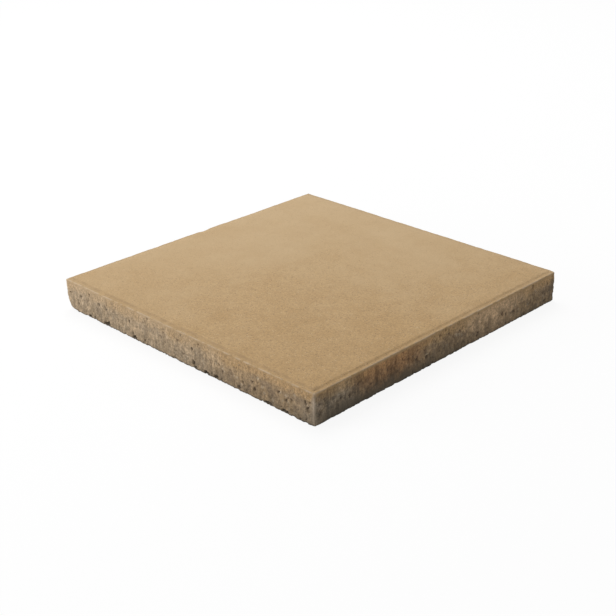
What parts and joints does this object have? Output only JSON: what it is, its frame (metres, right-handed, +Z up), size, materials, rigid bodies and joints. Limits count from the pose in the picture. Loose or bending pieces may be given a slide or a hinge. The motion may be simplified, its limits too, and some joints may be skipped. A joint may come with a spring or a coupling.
{
  "type": "concrete paving slab",
  "caption": "Square cast concrete paving slab with a stepped rim round its flat wearing face, laid on its underside to surface paths, patios and pavements.",
  "frame": {"origin": "centre of the underside, which lies on the ground or the bedding", "axes": "+Z up, through the wearing face; +X and +Y along the slab's two pairs of sides"},
  "size_m": [0.4, 0.4, 0.038],
  "materials": {
    "concrete": "matte"
  },
  "bodies": {
    "root": {"paving_slab": "concrete"}
  },
  "joints": []
}
